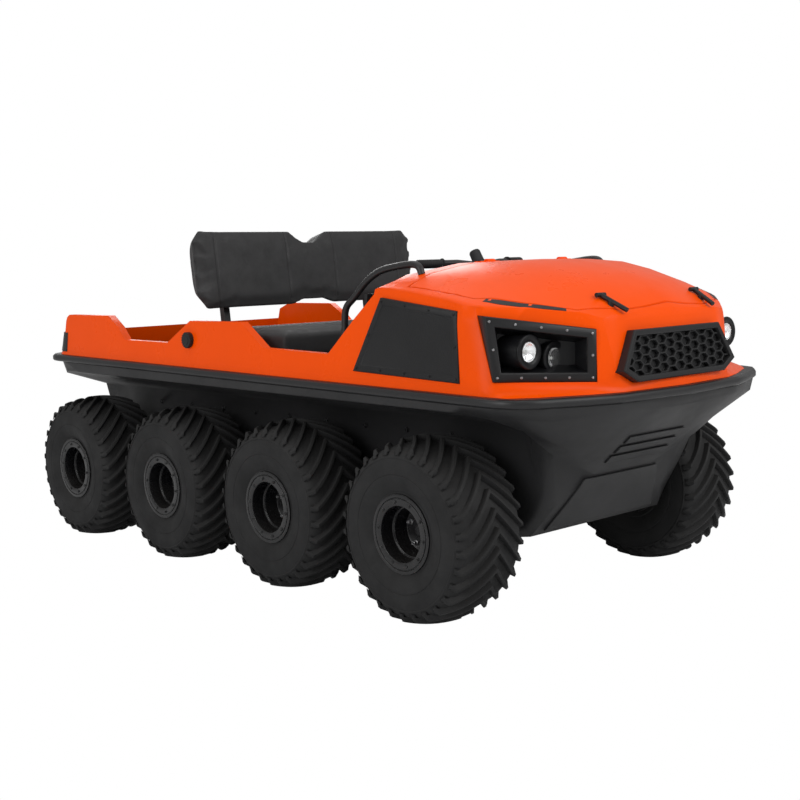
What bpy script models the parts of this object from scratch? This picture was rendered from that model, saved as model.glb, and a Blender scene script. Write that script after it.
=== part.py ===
"""Eight-wheeled amphibious all-terrain vehicle, skid steered, with an open tub.

Metres, +Z up, the nose points to -Y and the vehicle's right side is -X.
The origin is on the floor, under the middle of the whole vehicle.
"""

import math

import bmesh
import bpy
from mathutils import Vector

# Driving dimensions
LENGTH = 3.135
GAP = 0.0003
MOVING_GAP = 0.006
AXLE_Y = (-0.9555, -0.2335, 0.4885, 1.2105)
AXLE_Z = 0.3175
AXLE_RADIUS = 0.017
AXLE_BORE = 0.0174
ROUND_SEGMENTS = 24

TYRE_RADIUS = 0.3175
TYRE_INNER_X = 0.470
TYRE_OUTER_X = 0.7725
BEAD_RADIUS = 0.120
SHOULDER_RADIUS = 0.257
RIM_RING_RADIUS = 0.136
RIM_FACE_X = 0.763
DISH_RADIUS = 0.0935
DISH_X = 0.655

FRONT_Y = -LENGTH / 2
REAR_Y = LENGTH / 2
RAIL_HALF_WIDTH = 0.700
RAIL_Z = 0.788
RAIL_RISE = 0.0141
RAIL_UP = 0.012
RAIL_DOWN = 0.018
RAIL_DEPTH = 0.060

HULL_WALL = 0.012
HULL_HALF_WIDTH = 0.405
HULL_BOTTOM = 0.262
FENDER_UNDER = 0.656

BODY_WALL = 0.035
COWL_SKIN = 0.012
COCKPIT_FRONT = -0.640
HOOD_REAR = -0.860
HOOD_AXIS_Z = 1.199
HOOD_AXIS_Y = HOOD_REAR + 0.003
HOOD_PIN = 0.005

DECK_Z = 0.345
DECK_THICK = 0.010
DECK_JOINT = 0.510
SEAT_FRONT = -0.150
SEAT_REAR = 0.360
SEAT_TOP = 0.955
SEAT_BOTTOM = 0.845
BACKREST_LEAN = math.radians(6.7)

BAR_CENTRE = Vector((0.150, -0.500, 1.150))
COLUMN_LEAN = math.radians(30)


def clear_scene():
    for item in list(bpy.data.objects):
        bpy.data.objects.remove(item, do_unlink=True)


def make_material(name, colour, roughness, metallic=0.0):
    material = bpy.data.materials.new(name)
    material.use_nodes = True
    shader = material.node_tree.nodes["Principled BSDF"]
    shader.inputs["Base Color"].default_value = (*colour, 1.0)
    shader.inputs["Roughness"].default_value = roughness
    shader.inputs["Metallic"].default_value = metallic
    return material


def finish_mesh(name, mesh_data, material, smooth_angle=30):
    bmesh.ops.recalc_face_normals(mesh_data, faces=mesh_data.faces)
    mesh = bpy.data.meshes.new(name)
    mesh_data.to_mesh(mesh)
    mesh_data.free()
    if material is not None:
        mesh.materials.append(material)
    mesh.shade_smooth()
    mesh.set_sharp_from_angle(angle=math.radians(smooth_angle))
    piece = bpy.data.objects.new(name, mesh)
    bpy.context.scene.collection.objects.link(piece)
    return piece


def loft(name, rings, material=None):
    """A closed solid through rings of equal length, capped at both ends."""
    mesh_data = bmesh.new()
    loops = [[mesh_data.verts.new(point) for point in ring] for ring in rings]
    for low, high in zip(loops, loops[1:]):
        for index in range(len(low)):
            after = (index + 1) % len(low)
            mesh_data.faces.new((low[index], low[after], high[after], high[index]))
    mesh_data.faces.new(loops[0])
    mesh_data.faces.new(loops[-1])
    mesh_data.normal_update()
    bmesh.ops.triangulate(mesh_data, faces=mesh_data.faces)
    return finish_mesh(name, mesh_data, material)


def prism(name, outline, axis, low, high, material=None):
    """An outline of two coordinates carried along the axis of the third."""
    def place(u, v, w):
        return {"X": (w, u, v), "Y": (u, w, v), "Z": (u, v, w)}[axis]
    rings = [[place(u, v, w) for u, v in outline] for w in (low, high)]
    return loft(name, rings, material)


def box(name, low, high, material=None):
    outline = [(low[0], low[1]), (high[0], low[1]), (high[0], high[1]), (low[0], high[1])]
    return prism(name, outline, "Z", low[2], high[2], material)


def turned(name, profile, centre, material=None, steps=ROUND_SEGMENTS):
    """A closed profile of (x, radius) turned about the X axis through centre."""
    mesh_data = bmesh.new()
    loops = []
    for step in range(steps):
        angle = math.tau * step / steps
        direction = Vector((0, math.cos(angle), math.sin(angle)))
        loops.append([mesh_data.verts.new(Vector((x, 0, 0)) + direction * radius)
                      for x, radius in profile])
    for step in range(steps):
        here, there = loops[step], loops[(step + 1) % steps]
        for index in range(len(profile)):
            after = (index + 1) % len(profile)
            if profile[index][1] or profile[after][1]:
                mesh_data.faces.new((here[index], here[after], there[after], there[index]))
    bmesh.ops.remove_doubles(mesh_data, verts=mesh_data.verts, dist=0.00001)
    bmesh.ops.dissolve_degenerate(mesh_data, dist=0.00001, edges=mesh_data.edges)
    piece = finish_mesh(name, mesh_data, material)
    piece.location = centre
    return piece


def tube(name, points, radius, material, sides=10):
    """A round bar along a path of points, with flat ends."""
    points = [Vector(point) for point in points]
    rings = []
    for index, point in enumerate(points):
        before = points[max(index - 1, 0)]
        after = points[min(index + 1, len(points) - 1)]
        along = (after - before).normalized()
        side = along.cross(Vector((0.13, 0.21, 0.97))).normalized()
        up = side.cross(along)
        rings.append([point + radius * (math.cos(math.tau * k / sides) * side
                                        + math.sin(math.tau * k / sides) * up)
                      for k in range(sides)])
    return loft(name, rings, material)


def boolean(piece, other, operation):
    modifier = piece.modifiers.new(f"{operation.lower()} {other.name}", "BOOLEAN")
    modifier.operation = operation
    modifier.object = other
    modifier.solver = "EXACT"
    other.hide_render = True
    other.display_type = "WIRE"


def cut(piece, *cutters):
    for cutter in cutters:
        boolean(piece, cutter, "DIFFERENCE")


def join(piece, *others):
    for other in others:
        boolean(piece, other, "UNION")


def both_sides(half):
    """Mirrors a half ring that runs from the +X side down to the middle line."""
    mirrored = [(-x, y, z) for x, y, z in reversed(half) if abs(x) > 1e-6]
    return list(half) + mirrored


def rail_z(y):
    return RAIL_Z + RAIL_RISE * y


def rail_outline(inset):
    """The rub rail's outer line in plan, set in by an amount, front centre first, +X half."""
    points = [(0.0, FRONT_Y), (0.33, FRONT_Y + 0.025), (0.45, FRONT_Y + 0.065),
              (0.60, FRONT_Y + 0.125), (0.672, FRONT_Y + 0.175), (0.697, FRONT_Y + 0.24),
              (RAIL_HALF_WIDTH, FRONT_Y + 0.32)]
    points += [(RAIL_HALF_WIDTH, y) for y in (-0.6, 0.0, 0.7)]
    corner = 0.12
    centre = (RAIL_HALF_WIDTH - corner, REAR_Y - corner)
    for degrees in (0, 22, 45, 68, 90):
        angle = math.radians(degrees)
        points.append((centre[0] + corner * math.cos(angle), centre[1] + corner * math.sin(angle)))
    points.append((0.0, REAR_Y))
    return inset_outline(points, inset)


def inset_outline(points, inset):
    """Moves each point of a half outline inwards along the mean of its edges' normals."""
    moved = []
    for index, (x, y) in enumerate(points):
        before = points[index - 1] if index else (-points[1][0], points[1][1])
        after = points[index + 1] if index + 1 < len(points) else (-points[-2][0], points[-2][1])
        first = Vector((x - before[0], y - before[1])).normalized()
        second = Vector((after[0] - x, after[1] - y)).normalized()
        normal = (Vector((-first.y, first.x)) + Vector((-second.y, second.x))).normalized()
        scale = inset / max(normal.dot(Vector((-second.y, second.x))), 0.5)
        moved.append((x + normal.x * scale, y + normal.y * scale))
    return moved


def full_ring(half, height):
    """A closed plan ring from a +X half outline, with its height given by a function of y."""
    right = [(-x, y) for x, y in reversed(half[1:-1])]
    return [(x, y, height(y)) for x, y in half + right]


def make_materials():
    return {
        "orange": make_material("orange moulding", (0.95, 0.105, 0.0), 0.32),
        "black": make_material("black moulding", (0.032, 0.032, 0.034), 0.45),
        "trim": make_material("black trim", (0.018, 0.018, 0.019), 0.5),
        "rubber": make_material("tyre rubber", (0.028, 0.028, 0.03), 0.8),
        "rim": make_material("black painted rim", (0.012, 0.012, 0.013), 0.35, 0.6),
        "steel": make_material("bare steel", (0.42, 0.42, 0.43), 0.35, 1.0),
        "vinyl": make_material("seat vinyl", (0.03, 0.03, 0.031), 0.6),
        "lens": make_material("lamp lens", (0.75, 0.76, 0.78), 0.1),
        "grey": make_material("grey engine paint", (0.12, 0.12, 0.13), 0.5, 0.3),
        "deck": make_material("floor deck", (0.05, 0.05, 0.052), 0.6),
    }


# Wheels

def make_tyre(name, side, centre_y, material):
    profile = [(TYRE_INNER_X + 0.02, BEAD_RADIUS), (TYRE_OUTER_X - 0.024, BEAD_RADIUS),
               (TYRE_OUTER_X - 0.006, 0.142), (TYRE_OUTER_X, 0.190),
               (TYRE_OUTER_X, SHOULDER_RADIUS), (TYRE_OUTER_X - 0.045, 0.311),
               (TYRE_OUTER_X - 0.100, TYRE_RADIUS), (TYRE_INNER_X + 0.100, TYRE_RADIUS),
               (TYRE_INNER_X + 0.045, 0.311), (TYRE_INNER_X, SHOULDER_RADIUS),
               (TYRE_INNER_X, 0.190), (TYRE_INNER_X + 0.004, 0.142)]
    profile = [(side * x, radius) for x, radius in profile]
    return turned(name, profile, (0, centre_y, AXLE_Z), material)


def make_rim(name, side, centre_y, material):
    barrel = BEAD_RADIUS - GAP
    outer_flange = TYRE_OUTER_X - 0.024 + GAP
    profile = [(0.430, AXLE_BORE), (0.600, AXLE_BORE), (0.600, 0.0), (0.668, 0.0),
               (0.668, 0.045), (DISH_X, 0.080), (RIM_FACE_X, DISH_RADIUS),
               (RIM_FACE_X, RIM_RING_RADIUS), (outer_flange, barrel),
               (TYRE_INNER_X + 0.02, barrel), (TYRE_INNER_X + 0.02, barrel - 0.014),
               (0.640, barrel - 0.022), (0.640, 0.045), (0.430, 0.045)]
    profile = [(side * x, radius) for x, radius in profile]
    return turned(name, profile, (0, centre_y, AXLE_Z), material)


def make_axle(name, centre_y, material):
    end = 0.600 - GAP
    collar_in = HULL_HALF_WIDTH + GAP
    collar_out = collar_in + 0.014
    half = [(end, 0.0), (end, AXLE_RADIUS), (collar_out, AXLE_RADIUS), (collar_out, 0.050),
            (collar_in, 0.050), (collar_in, AXLE_RADIUS)]
    profile = half + [(-x, radius) for x, radius in reversed(half)]
    return turned(name, profile, (0, centre_y, AXLE_Z), material)


# Lower hull

def hull_stations():
    """Half sections along the hull: y, then (x, z) from the top edge to the middle line."""
    bottom = HULL_BOTTOM
    wall = HULL_HALF_WIDTH
    under = FENDER_UNDER
    return [
        (-1.530, [(0.335, 0.0), (0.325, 0.724), (0.22, 0.716), (0.15, 0.712), (0.08, 0.710)]),
        (-1.440, [(0.585, 0.0), (0.565, 0.705), (0.36, 0.645), (0.27, 0.630), (0.19, 0.622)]),
        (-1.360, [(0.662, 0.0), (0.640, 0.715), (0.44, 0.610), (0.33, 0.565), (0.17, 0.545)]),
        (-1.285, [(0.682, 0.0), (0.672, 0.722), (0.52, 0.660), (0.37, 0.560), (0.16, 0.470)]),
        (-1.235, [(0.685, 0.0), (0.676, 0.723), (0.43, under), (wall, 0.440), (0.30, 0.380)]),
        (-1.170, [(0.685, 0.0), (0.678, 0.724), (wall, under), (wall, 0.330), (0.36, bottom + 0.01)]),
        (-1.100, [(0.685, 0.0), (0.678, 0.725), (wall, under), (wall, 0.310), (0.37, bottom)]),
        (1.280, [(0.685, 0.0), (0.678, 0.745), (wall, under), (wall, 0.310), (0.37, bottom)]),
        (1.400, [(0.684, 0.0), (0.670, 0.745), (0.41, under), (wall, 0.420), (0.37, 0.370)]),
        (1.470, [(0.655, 0.0), (0.635, 0.730), (0.43, 0.662), (wall, 0.560), (0.37, 0.510)]),
        (1.535, [(0.590, 0.0), (0.570, 0.745), (0.42, 0.700), (0.38, 0.680), (0.30, 0.672)]),
    ]


def hull_top(y):
    return rail_z(y) - RAIL_DOWN - GAP


def hull_ring(y, section, inset=0.0, open_top=False):
    top = hull_top(y) + (0.2 if open_top else 0.0)
    half = []
    for index, (x, z) in enumerate(section):
        height = top if index == 0 else z + inset
        half.append((x - inset, y, height))
    half.append((0.0, y, section[-1][1] + inset))
    mirrored = [(-x, y, z) for x, y, z in reversed(half[:-1])]
    return half + mirrored


def make_hull(material):
    stations = hull_stations()
    hull = loft("lower_hull", [hull_ring(y, section) for y, section in stations], material)
    inner = []
    for y, section in stations:
        if y == stations[0][0]:
            y = y + 0.03
            section = [(x, z + 0.014) for x, z in section]
        if y == stations[-1][0]:
            y = y - 0.02
        inner.append(hull_ring(y, section, HULL_WALL, True))
    cut(hull, loft("hull hollow", inner))
    for index, centre_y in enumerate(AXLE_Y):
        end = HULL_HALF_WIDTH + 0.05
        profile = [(-end, 0.0), (-end, AXLE_BORE), (end, AXLE_BORE), (end, 0.0)]
        cut(hull, turned(f"axle hole {index}", profile, (0, centre_y, AXLE_Z)))
    return hull


def make_rub_rail(material):
    """A ring of rounded section on the hull's top edge, all the way round."""
    section = [(0.006, -RAIL_DOWN), (0.0, -RAIL_DOWN + 0.006), (0.0, RAIL_UP - 0.008),
               (0.008, RAIL_UP), (RAIL_DEPTH, RAIL_UP), (RAIL_DEPTH, -RAIL_DOWN)]
    mesh_data = bmesh.new()
    loops = []
    for inset, rise in section:
        ring = full_ring(rail_outline(inset), lambda y, rise=rise: rail_z(y) + rise)
        loops.append([mesh_data.verts.new(point) for point in ring])
    for index in range(len(loops)):
        low, high = loops[index], loops[(index + 1) % len(loops)]
        for step in range(len(low)):
            after = (step + 1) % len(low)
            mesh_data.faces.new((low[step], low[after], high[after], high[step]))
    bmesh.ops.triangulate(mesh_data, faces=mesh_data.faces)
    return finish_mesh("rub_rail", mesh_data, material)


# Upper body, hood and what they carry

WALL_TOP = [(-1.60, 1.30), (-0.78, 1.30), (-0.727, 1.100), (-0.50, 0.895), (-0.494, 0.890),
            (-0.113, 0.898), (0.034, 0.993), (0.3825, 0.993), (0.5475, 0.900), (0.885, 0.902),
            (0.9425, 0.955), (1.0275, 1.005), (1.375, 1.005), (1.430, 0.975), (1.445, 0.925),
            (1.60, 0.915)]

ROOF_HALF_X = (0.0, 0.28, 0.50, 0.62, 0.70)
ROOF = [
    (-1.580, (0.975, 0.950, 0.900, 0.850, 0.830)),
    (-1.495, (1.030, 1.010, 0.960, 0.930, 0.900)),
    (-1.423, (1.095, 1.060, 1.010, 0.975, 0.950)),
    (-1.307, (1.150, 1.120, 1.063, 1.030, 1.005)),
    (-1.200, (1.180, 1.160, 1.105, 1.068, 1.040)),
    (-1.080, (1.203, 1.188, 1.140, 1.092, 1.060)),
    (-0.930, (1.205, 1.200, 1.163, 1.112, 1.080)),
    (-0.780, (1.203, 1.198, 1.168, 1.125, 1.100)),
    (-0.700, (1.190, 1.186, 1.160, 1.125, 1.100)),
    (-0.600, (1.150, 1.150, 1.150, 1.125, 1.100)),
]


def body_rings(inset):
    """Plan rings of the upper body from the rail upwards, +X halves, as (z rise, points)."""
    low_front = [(0.0, -1.537), (0.30, -1.520), (0.42, -1.478), (0.590, -1.400), (0.662, -1.345),
                 (0.674, -1.270)]
    mid_front = [(0.0, -1.528), (0.30, -1.512), (0.37, -1.470), (0.560, -1.355), (0.655, -1.290),
                 (0.668, -1.230)]
    high_front = [(0.0, -1.495), (0.27, -1.482), (0.34, -1.470), (0.560, -1.300), (0.650, -1.215),
                  (0.660, -1.160)]
    top_front = [(0.0, -1.430), (0.24, -1.425), (0.33, -1.400), (0.520, -1.240), (0.600, -1.150),
                 (0.615, -1.090)]
    levels = []
    for rise, front, half_width, rear, corner in (
            (RAIL_UP + GAP, low_front, 0.676, 1.528, 0.10), (0.030, mid_front, 0.668, 1.518, 0.10),
            (0.235, high_front, 0.655, 1.480, 0.09), (0.52, top_front, 0.610, 1.430, 0.08)):
        points = list(front)
        points += [(half_width, y) for y in (-0.45, 0.3, rear - corner)]
        points.append((half_width - corner * 0.3, rear - corner * 0.3))
        points.append((half_width - corner, rear))
        points.append((0.0, rear))
        levels.append((rise, inset_outline(points, inset)))
    return levels


def body_block(name, inset, low_rise=None):
    rings = []
    for index, (rise, points) in enumerate(body_rings(inset)):
        if index == 0 and low_rise is not None:
            rise = low_rise
        rings.append(full_ring(points, lambda y, rise=rise: rail_z(y) + rise))
    return loft(name, rings)


def roof_block(name, drop):
    """All that lies under the cowl's crowned top, lowered by an amount."""
    rings = []
    for y, heights in ROOF:
        half = [(x, y, z - drop) for x, z in zip(ROOF_HALF_X, heights)]
        half.append((0.90, y, heights[-1] - drop - 0.09))
        half.append((0.90, y, 0.4))
        right = [(-x, y, z) for x, y, z in reversed(half)]
        rings.append(half + right[:-1])
    return loft(name, rings)


def side_block(name):
    """All that lies under the side walls' top line."""
    outline = [(y, z) for y, z in WALL_TOP] + [(1.60, 0.4), (-1.60, 0.4)]
    return prism(name, outline, "X", -0.9, 0.9)


def hood_outline(grow):
    half = [(0.0, -1.465), (0.235, -1.458), (0.385, -1.405), (0.500, -1.290), (0.590, -1.150),
            (0.600, -1.060), (0.600, HOOD_REAR)]
    points = inset_outline(half + [(0.0, HOOD_REAR)], -grow)
    points[0] = (0.0, points[0][1])
    points[-1] = (0.0, HOOD_REAR + grow)
    return points


def hood_prism(name, grow):
    half = hood_outline(grow)
    right = [(-x, y) for x, y in reversed(half[1:-1])]
    return prism(name, half + right, "Z", 0.985, 1.4)


def cowl_top(name):
    """The cowl's crowned top joined to the level region over the tub, as one cutter."""
    roof = roof_block(name, 0.0)
    join(roof, box(f"{name} tub", (-0.85, -0.625, 0.45), (0.85, 1.6, 1.4)))
    return roof


def make_upper_body(material):
    body = body_block("upper_body", 0.0)
    boolean(body, cowl_top("cowl limit"), "INTERSECT")
    boolean(body, side_block("side limit"), "INTERSECT")
    tub = body_block("tub hollow", BODY_WALL, -0.1)
    boolean(tub, box("tub region", (-0.8, COCKPIT_FRONT, 0.5), (0.8, 1.7, 1.5)), "INTERSECT")
    bay = body_block("bay hollow", COWL_SKIN, -0.1)
    boolean(bay, roof_block("bay roof", COWL_SKIN), "INTERSECT")
    cut(body, tub, bay, hood_prism("hood opening", MOVING_GAP))
    return body


def make_hood(material):
    hood = body_block("hood", 0.0)
    hood.data.materials.append(material)
    boolean(hood, roof_block("hood top", 0.0), "INTERSECT")
    bay = body_block("hood hollow", COWL_SKIN, -0.1)
    boolean(bay, roof_block("hood under", COWL_SKIN), "INTERSECT")
    cut(hood, bay)
    boolean(hood, hood_prism("hood edge", 0.0), "INTERSECT")
    return hood


def make_hood_hinge(body, hood):
    """Two pins on the fixed cowl, in ears that reach down from the hood."""
    for side in (-1, 1):
        x_low, x_high = sorted((side * 0.150, side * 0.250))
        ear_low, ear_high = x_low + 0.030, x_high - 0.030
        pin_line = (0, HOOD_AXIS_Y, HOOD_AXIS_Z)
        cut(body, box(f"ear notch {side}",
                      (ear_low - MOVING_GAP, HOOD_REAR - 0.01, HOOD_AXIS_Z - 0.03),
                      (ear_high + MOVING_GAP, HOOD_AXIS_Y + 0.012 + MOVING_GAP, HOOD_AXIS_Z + 0.03)))
        join(body, turned(f"hinge pin {side}", [(x_low, 0), (x_low, HOOD_PIN), (x_high, HOOD_PIN),
                                                (x_high, 0)], pin_line, steps=16))
        for x in (x_low, x_high - 0.012):
            join(body, box(f"pin post {side} {x:.3f}", (x, HOOD_REAR + 0.001, HOOD_AXIS_Z - 0.030),
                           (x + 0.012, HOOD_REAR + 0.030, HOOD_AXIS_Z + 0.004)))
        ear = turned(f"hood ear {side}", [(ear_low, 0), (ear_low, 0.012), (ear_high, 0.012),
                                          (ear_high, 0)], pin_line, steps=16)
        join(hood, ear, box(f"ear arm {side}", (ear_low, HOOD_REAR - 0.030, HOOD_AXIS_Z - 0.012),
                            (ear_high, HOOD_REAR + 0.001, HOOD_AXIS_Z - 0.002)))
        bore = HOOD_PIN + 0.0004
        cut(hood, turned(f"ear bore {side}", [(x_low - 0.01, 0), (x_low - 0.01, bore),
                                              (x_high + 0.01, bore), (x_high + 0.01, 0)],
                         pin_line, steps=16))


def panel(name, corners, outside, inside, material):
    """A flat panel through corners that run from the +X or front end, seen from outside."""
    first, second, last = Vector(corners[0]), Vector(corners[1]), Vector(corners[-1])
    inward = (second - first).cross(last - first).normalized()
    flat = [Vector(point) - inward * inward.dot(Vector(point) - first) for point in corners]
    rings = [[point + inward * depth for point in flat] for depth in (-outside, inside)]
    return loft(name, rings, material)


def scaled_about_middle(corners, grow):
    """Moves the corners of a panel away from each other by an amount."""
    middle = sum((Vector(corner) for corner in corners), Vector()) / len(corners)
    return [Vector(corner) + (Vector(corner) - middle).normalized() * grow for corner in corners]


LAMP_PANEL = [(0.655, -1.285, 0.828), (0.365, -1.462, 0.815), (0.365, -1.462, 0.982),
              (0.648, -1.222, 1.035)]
SIDE_PANEL = [(0.667, -0.636, 0.836), (0.667, -1.152, 0.818), (0.653, -1.135, 1.048),
              (0.651, -0.772, 1.090)]
GRILLE = [(0.245, -1.525, 0.806), (-0.245, -1.525, 0.806), (-0.316, -1.520, 0.845),
          (-0.240, -1.500, 0.972), (0.240, -1.500, 0.972), (0.316, -1.520, 0.845)]


def make_cowl_pieces(body, materials):
    """Grille, lamp units and side panels, each let into the upper body."""
    for side, word in ((1, "left"), (-1, "right")):
        for name, corners, depth, look in (("lamp_unit", LAMP_PANEL, 0.05, "trim"),
                                           ("side_panel", SIDE_PANEL, 0.02, "trim")):
            placed = [(side * x, y, z) for x, y, z in corners]
            if side < 0:
                placed = [placed[1], placed[0], placed[3], placed[2]]
            panel(f"{name}_{word}", placed, 0.006, depth, materials[look])
            cut(body, panel(f"{name} {word} seat", scaled_about_middle(placed, 0.0006), 0.1,
                            depth + 0.1, None))
    panel("grille", GRILLE, 0.015, 0.030, materials["trim"])
    cut(body, panel("grille seat", scaled_about_middle(GRILLE, 0.0006), 0.1, 0.1, None))


def lean_back(piece):
    """Leans a piece of the backrest with height, from the backrest's lower edge."""
    for vertex in piece.data.vertices:
        vertex.co.y += (vertex.co.z - 1.020) * math.tan(BACKREST_LEAN)


def make_inside(materials):
    """Floor deck, engine block, dash panel, seat and its frame."""
    half = HULL_HALF_WIDTH - HULL_WALL - GAP
    for name, low_y, high_y in (("floor_front", -1.05, DECK_JOINT - GAP),
                                ("floor_rear", DECK_JOINT, 1.25)):
        box(name, (-half, low_y, DECK_Z), (half, high_y, DECK_Z + DECK_THICK), materials["deck"])
    floor = DECK_Z + DECK_THICK + GAP
    box("engine_block", (-0.24, -1.04, floor), (0.24, -0.72, floor + 0.42), materials["grey"])
    wide = 0.595
    shelf = FENDER_UNDER + HULL_WALL + 0.065
    dash_line = [(-0.640, floor), (-0.628, floor), (-0.600, 0.80), (-0.624, 1.100),
                 (-0.639, 1.100), (-0.612, 0.80)]
    dash = prism("dash_panel", dash_line, "X", -wide, wide, materials["trim"])
    for side in (-1, 1):
        low, high = sorted((side * half, side * 0.7))
        cut(dash, box(f"dash side {side}", (low, -0.8, 0.2), (high, -0.4, shelf)))
    base = box("seat_base", (-half, SEAT_FRONT + 0.05, floor), (half, SEAT_REAR + 0.02, 0.82),
               materials["trim"])
    join(base, box("seat board", (-wide, SEAT_FRONT + 0.02, 0.815),
                   (wide, SEAT_REAR + 0.135, SEAT_BOTTOM - GAP)))
    box("seat_cushion", (-wide, SEAT_FRONT, SEAT_BOTTOM), (wide, SEAT_REAR, SEAT_TOP),
        materials["vinyl"])
    back_line = [(0.12, 1.020), (0.575, 1.020), (0.622, 1.080), (0.622, 1.325), (0.587, 1.368),
                 (0.105, 1.368), (0.035, 1.320), (-0.035, 1.320), (-0.105, 1.368),
                 (-0.587, 1.368), (-0.622, 1.325), (-0.622, 1.080), (-0.575, 1.020),
                 (-0.12, 1.020), (-0.057, 1.042), (0.057, 1.042)]
    back = prism("seat_back", back_line, "Y", 0.378, 0.478, materials["vinyl"])
    post_y = 0.478 + GAP
    frame = box("seat_frame", (-0.50, post_y + 0.004, 1.10), (0.50, post_y + 0.026, 1.13),
                materials["trim"])
    posts = [box(f"post {side}", (side * 0.405 - 0.015, post_y, SEAT_BOTTOM),
                 (side * 0.405 + 0.015, post_y + 0.03, 1.20)) for side in (-1, 1)]
    for piece in (back, frame, *posts):
        lean_back(piece)
    join(frame, *posts)
    return dash


def make_steering(dash, materials):
    axis = Vector((0, math.sin(COLUMN_LEAN), math.cos(COLUMN_LEAN)))
    foot = BAR_CENTRE - axis * 0.22
    tube("steering_column", [foot, BAR_CENTRE - axis * GAP], 0.020, materials["trim"], 16)
    cut(dash, tube("column hole", [foot - axis * 0.1, BAR_CENTRE], 0.020 + 2 * GAP, None, 16))
    bar = tube("handlebar", [BAR_CENTRE, BAR_CENTRE + axis * 0.05], 0.024, materials["trim"], 16)
    middle = BAR_CENTRE + axis * 0.04
    reach = [(-0.30, 0.055, 0.012), (-0.12, 0.010, 0.012), (0.0, 0.0, 0.0), (0.12, 0.010, 0.012),
             (0.30, 0.055, 0.012)]
    join(bar, tube("grips", [middle + Vector(point) for point in reach], 0.014, None))


def main():
    clear_scene()
    materials = make_materials()
    for index, centre_y in enumerate(AXLE_Y):
        number = index + 1
        make_axle(f"axle_{number}", centre_y, materials["steel"])
        for side, word in ((1, "left"), (-1, "right")):
            make_tyre(f"tyre_{word}_{number}", side, centre_y, materials["rubber"])
            make_rim(f"rim_{word}_{number}", side, centre_y, materials["rim"])
    make_hull(materials["black"])
    make_rub_rail(materials["black"])
    body = make_upper_body(materials["orange"])
    hood = make_hood(materials["orange"])
    make_hood_hinge(body, hood)
    make_cowl_pieces(body, materials)
    dash = make_inside(materials)
    make_steering(dash, materials)


main()
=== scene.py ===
"""Looks for the eight-wheeled amphibious vehicle: finishes, fittings, light and camera."""

import math

import bmesh
import bpy
from mathutils import Matrix, Vector
from mathutils.bvhtree import BVHTree


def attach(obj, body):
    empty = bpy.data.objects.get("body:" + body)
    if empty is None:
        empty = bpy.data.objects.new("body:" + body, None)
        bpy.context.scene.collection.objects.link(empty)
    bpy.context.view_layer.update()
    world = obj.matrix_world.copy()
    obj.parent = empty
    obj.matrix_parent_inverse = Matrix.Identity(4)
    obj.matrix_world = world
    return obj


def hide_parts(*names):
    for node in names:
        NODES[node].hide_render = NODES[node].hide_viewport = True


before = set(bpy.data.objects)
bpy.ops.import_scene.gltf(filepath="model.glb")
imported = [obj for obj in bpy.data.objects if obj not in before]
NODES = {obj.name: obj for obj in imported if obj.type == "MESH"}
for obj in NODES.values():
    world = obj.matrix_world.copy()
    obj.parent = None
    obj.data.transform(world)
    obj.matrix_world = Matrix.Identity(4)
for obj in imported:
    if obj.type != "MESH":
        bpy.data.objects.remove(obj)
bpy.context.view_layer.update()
WHITE = (1.0, 1.0, 1.0, 1.0)

# The camera stands where the photograph was taken from.
CAMERA_PLACE = Vector((-3.5295, -3.9572, 1.2149))
CAMERA_YAW = 0.74762
CAMERA_PITCH = -0.110265
CAMERA_ROLL = -0.027259
CAMERA_LENS = 56.857
SENSOR_WIDTH = 36.0


# Node trees

def put(tree, kind, values=None, **settings):
    """Adds a node, with its settings and the values or links of its inputs."""
    node = tree.nodes.new(kind)
    for name, value in settings.items():
        setattr(node, name, value)
    for name, value in (values or {}).items():
        if isinstance(value, bpy.types.NodeSocket):
            tree.links.new(value, node.inputs[name])
        else:
            node.inputs[name].default_value = value
    return node


def new_group(name, inputs, outputs):
    """An empty shader node group with named sockets: (name, kind, default)."""
    group = bpy.data.node_groups.new(name, "ShaderNodeTree")
    for label, kind, default in inputs:
        socket = group.interface.new_socket(label, in_out="INPUT", socket_type=kind)
        socket.default_value = default
    for label, kind in outputs:
        group.interface.new_socket(label, in_out="OUTPUT", socket_type=kind)
    return group, put(group, "NodeGroupInput"), put(group, "NodeGroupOutput")


def calculated(tree, operation, *values):
    """The result of a math node."""
    return put(tree, "ShaderNodeMath", dict(enumerate(values)), operation=operation).outputs[0]


def spread_out(tree, value, low, high):
    """Maps what lies from low to high onto the whole range from 0 to 1."""
    return put(tree, "ShaderNodeMapRange",
               {"Value": value, "From Min": low, "From Max": high}).outputs[0]


def mixed_colour(tree, share, first, second):
    return put(tree, "ShaderNodeMix", {"Factor": share, 6: first, 7: second},
               data_type="RGBA").outputs[2]


def moulded_grain_group():
    """The fine leather-like grain of a moulding tool, over a slow ripple of the sheet."""
    group, given, result = new_group(
        "moulded grain",
        [("Grain Size", "NodeSocketFloat", 0.002), ("Ripple", "NodeSocketFloat", 0.3)],
        [("Height", "NodeSocketFloat")])
    place = put(group, "ShaderNodeTexCoord").outputs["Object"]
    per_metre = calculated(group, "DIVIDE", 1.0, given.outputs["Grain Size"])
    cells = put(group, "ShaderNodeTexVoronoi", {"Vector": place, "Scale": per_metre},
                feature="SMOOTH_F1").outputs["Distance"]
    slow = put(group, "ShaderNodeTexNoise",
               {"Vector": place, "Scale": 5.0, "Detail": 1.0}).outputs["Fac"]
    rippled = calculated(group, "MULTIPLY_ADD", slow, given.outputs["Ripple"], cells)
    group.links.new(rippled, result.inputs["Height"])
    return group


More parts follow.
